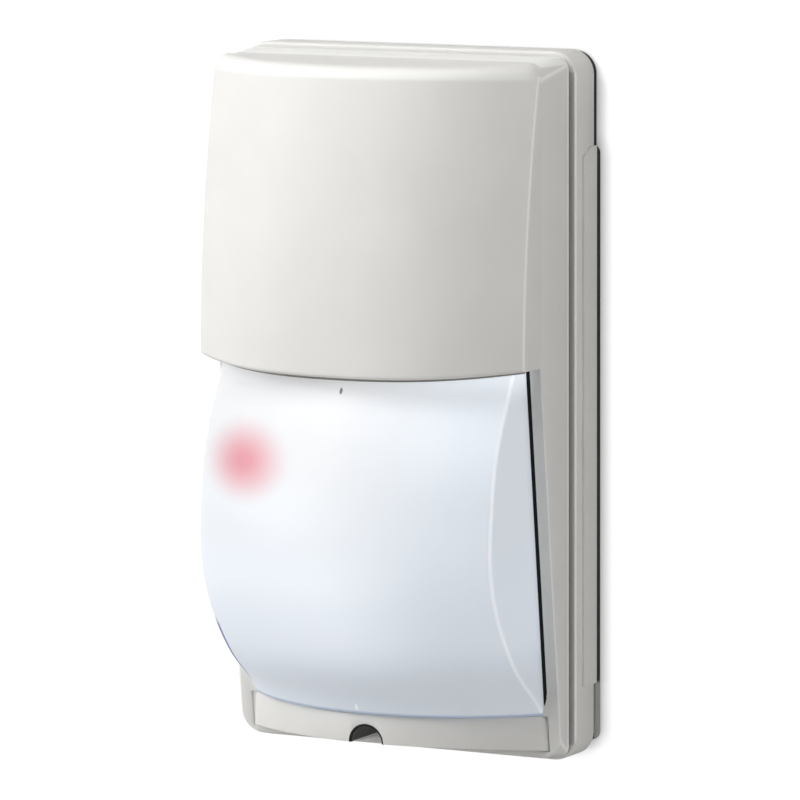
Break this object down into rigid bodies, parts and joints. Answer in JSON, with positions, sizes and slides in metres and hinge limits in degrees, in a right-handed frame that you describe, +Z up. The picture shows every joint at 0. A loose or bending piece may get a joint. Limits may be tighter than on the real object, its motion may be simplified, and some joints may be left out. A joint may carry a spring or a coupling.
{
  "type": "outdoor passive infrared motion detector",
  "caption": "Wall-mounted outdoor motion detector: convex hood over a bulging translucent window, screw-fastened cover on a rear case with back plate, turnable sensor head inside",
  "frame": {"origin": "on the wall plane, midway between the two wall screw holes of the back plate", "axes": "+X to the right seen from the front, +Y into the wall, +Z up; the front faces -Y"},
  "size_m": [0.119, 0.0739, 0.2214],
  "materials": {
    "case_plastic": "fine satin moulding, warm light grey",
    "plate_plastic": "fine matte",
    "window_plastic": "translucent, softly glossy",
    "black_rubber": "matte",
    "screw_steel": "plated",
    "board_laminate": "coated laminate",
    "dark_plastic": "matte",
    "control_plastic": "smooth",
    "can_aluminium": "smooth",
    "sensor_can": "plated can",
    "red_light": "lit red lens",
    "clear_plastic": "clear acrylic"
  },
  "bodies": {
    "case": {"back_plate": "plate_plastic", "rear_case": "case_plastic", "case_gasket": "black_rubber", "front_cover": "case_plastic", "lens_window": "window_plastic", "cover_screw": "screw_steel", "board_screws": "screw_steel", "case_screws": "screw_steel", "cable_grommet": "black_rubber", "circuit_board": "board_laminate", "terminal_block": "dark_plastic", "terminal_screws": "screw_steel", "relay": "dark_plastic", "capacitor": "can_aluminium", "controller_chip": "dark_plastic", "tamper_switch": "dark_plastic", "trimmer_body": "dark_plastic", "mode_switch": "dark_plastic", "alarm_light": "red_light", "light_pipe": "clear_plastic", "head_bracket": "dark_plastic"},
    "head": {"detector_head": "dark_plastic", "sensor_upper": "sensor_can", "sensor_lower": "sensor_can"},
    "plunger": {"tamper_plunger": "control_plastic"},
    "trimmer": {"trimmer_knob": "control_plastic"},
    "slider": {"mode_slider": "control_plastic"}
  },
  "joints": [
    {"name": "head_turn", "type": "hinge", "parent": "case", "child": "head", "pos_m": [0, -0.0336, 0], "axis": [0, 0, 1], "range_deg": [-45, 45]},
    {"name": "tamper_press", "type": "slide", "parent": "case", "child": "plunger", "axis": [0, 1, 0], "range_m": [0, 0.001], "stiffness_N_per_m": 60, "springref_m": -0.0019},
    {"name": "sensitivity_turn", "type": "hinge", "parent": "case", "child": "trimmer", "pos_m": [0.016, -0.0176, 0.052], "axis": [0, -1, 0], "range_deg": [-135, 135]},
    {"name": "mode_slide", "type": "slide", "parent": "case", "child": "slider", "axis": [1, 0, 0], "range_m": [0, 0.002]}
  ]
}
